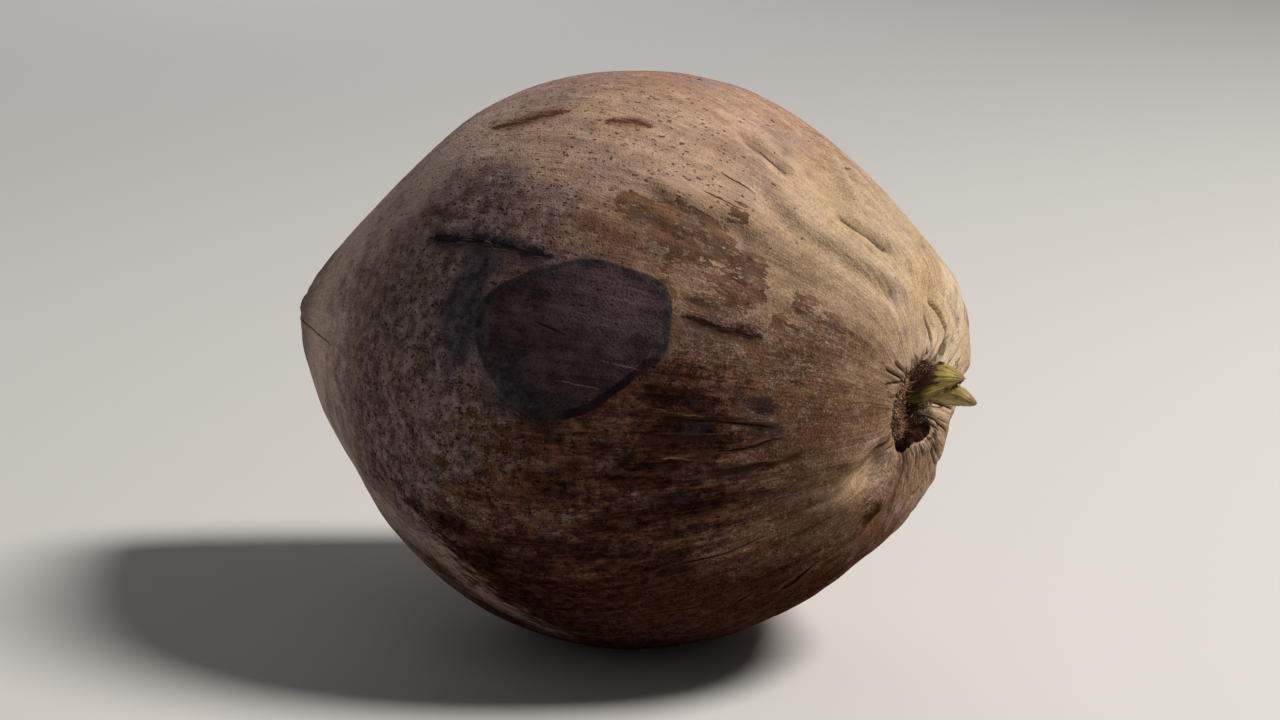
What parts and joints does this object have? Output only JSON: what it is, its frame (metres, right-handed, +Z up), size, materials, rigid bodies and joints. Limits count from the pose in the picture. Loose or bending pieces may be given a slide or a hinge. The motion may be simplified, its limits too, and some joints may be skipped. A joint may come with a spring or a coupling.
{
  "type": "coconut in its husk",
  "caption": "Ripe whole coconut lying on its side in its dry brown fibrous husk, with a pointed apex and a small green shoot pushing out of the stem scar",
  "frame": {"origin": "bottom centre of the whole coconut's box, on the flat spot it rests on", "axes": "+X along the long axis, from the pointed apex to the stem scar and shoot; +Z up; the coconut lies on its side"},
  "size_m": [0.295, 0.2028, 0.2031],
  "materials": {
    "husk": "dry, matte fibrous husk with a thin waxy skin, worn and stained",
    "shoot_sheath": "fresh leaf, soft satin",
    "shoot_spear": "fresh leaf, soft satin, browned at the tip"
  },
  "bodies": {
    "root": {"husk": "husk", "shoot_sheath": "shoot_sheath", "shoot_spear": "shoot_spear"}
  },
  "joints": []
}
